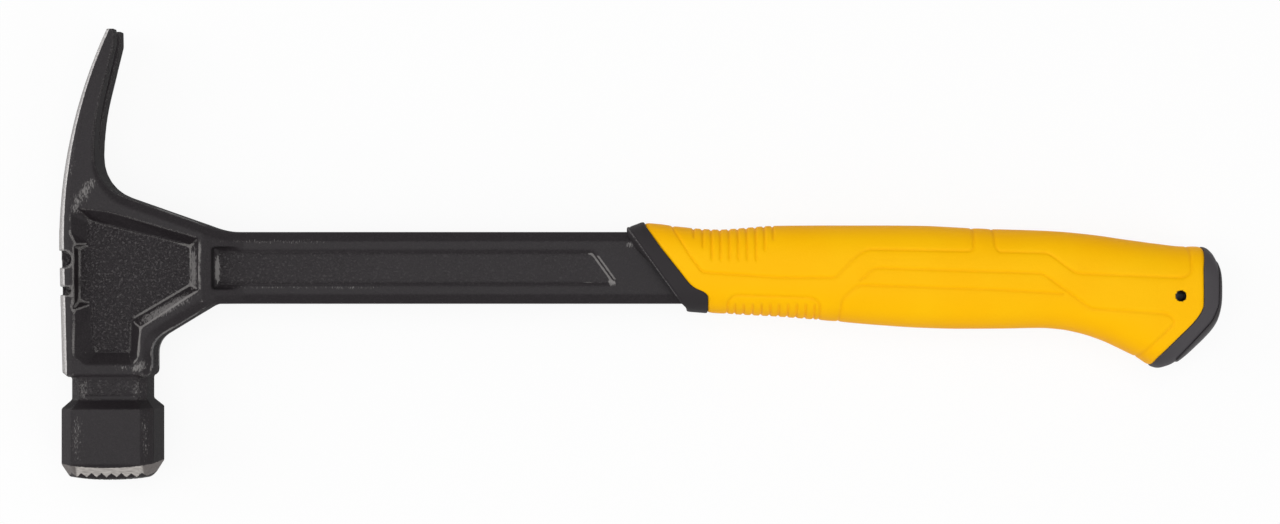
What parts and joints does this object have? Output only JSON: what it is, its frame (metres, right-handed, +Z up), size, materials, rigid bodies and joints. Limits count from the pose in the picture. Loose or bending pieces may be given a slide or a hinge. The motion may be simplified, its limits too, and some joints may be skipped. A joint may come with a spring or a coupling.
{
  "type": "framing hammer",
  "caption": "Framing hammer with a milled striking face, straight rip claw, one-piece steel shank and a soft yellow grip with a flared black butt.",
  "frame": {"origin": "middle of the box, at the plane that the hammer rests on when it lies on its side", "axes": "+X runs down the handle from the head to the butt, +Y points from the striking face to the claw tips, +Z is up, across the cheeks"},
  "size_m": [0.4296, 0.1674, 0.034],
  "materials": {
    "black_steel": "satin black coating with fine grain, worn bright at edges",
    "bare_magnet": "plain nickel grey",
    "hard_core": "matte black",
    "hard_black": "satin black",
    "soft_yellow": "satin yellow",
    "soft_black": "satin black"
  },
  "bodies": {
    "root": {"forged_head_and_tang": "black_steel", "nail_magnet": "bare_magnet", "grip_core": "hard_core", "front_collar": "hard_black", "grip_sleeve": "soft_yellow", "butt_cap": "hard_black", "butt_pad": "soft_black"}
  },
  "joints": []
}
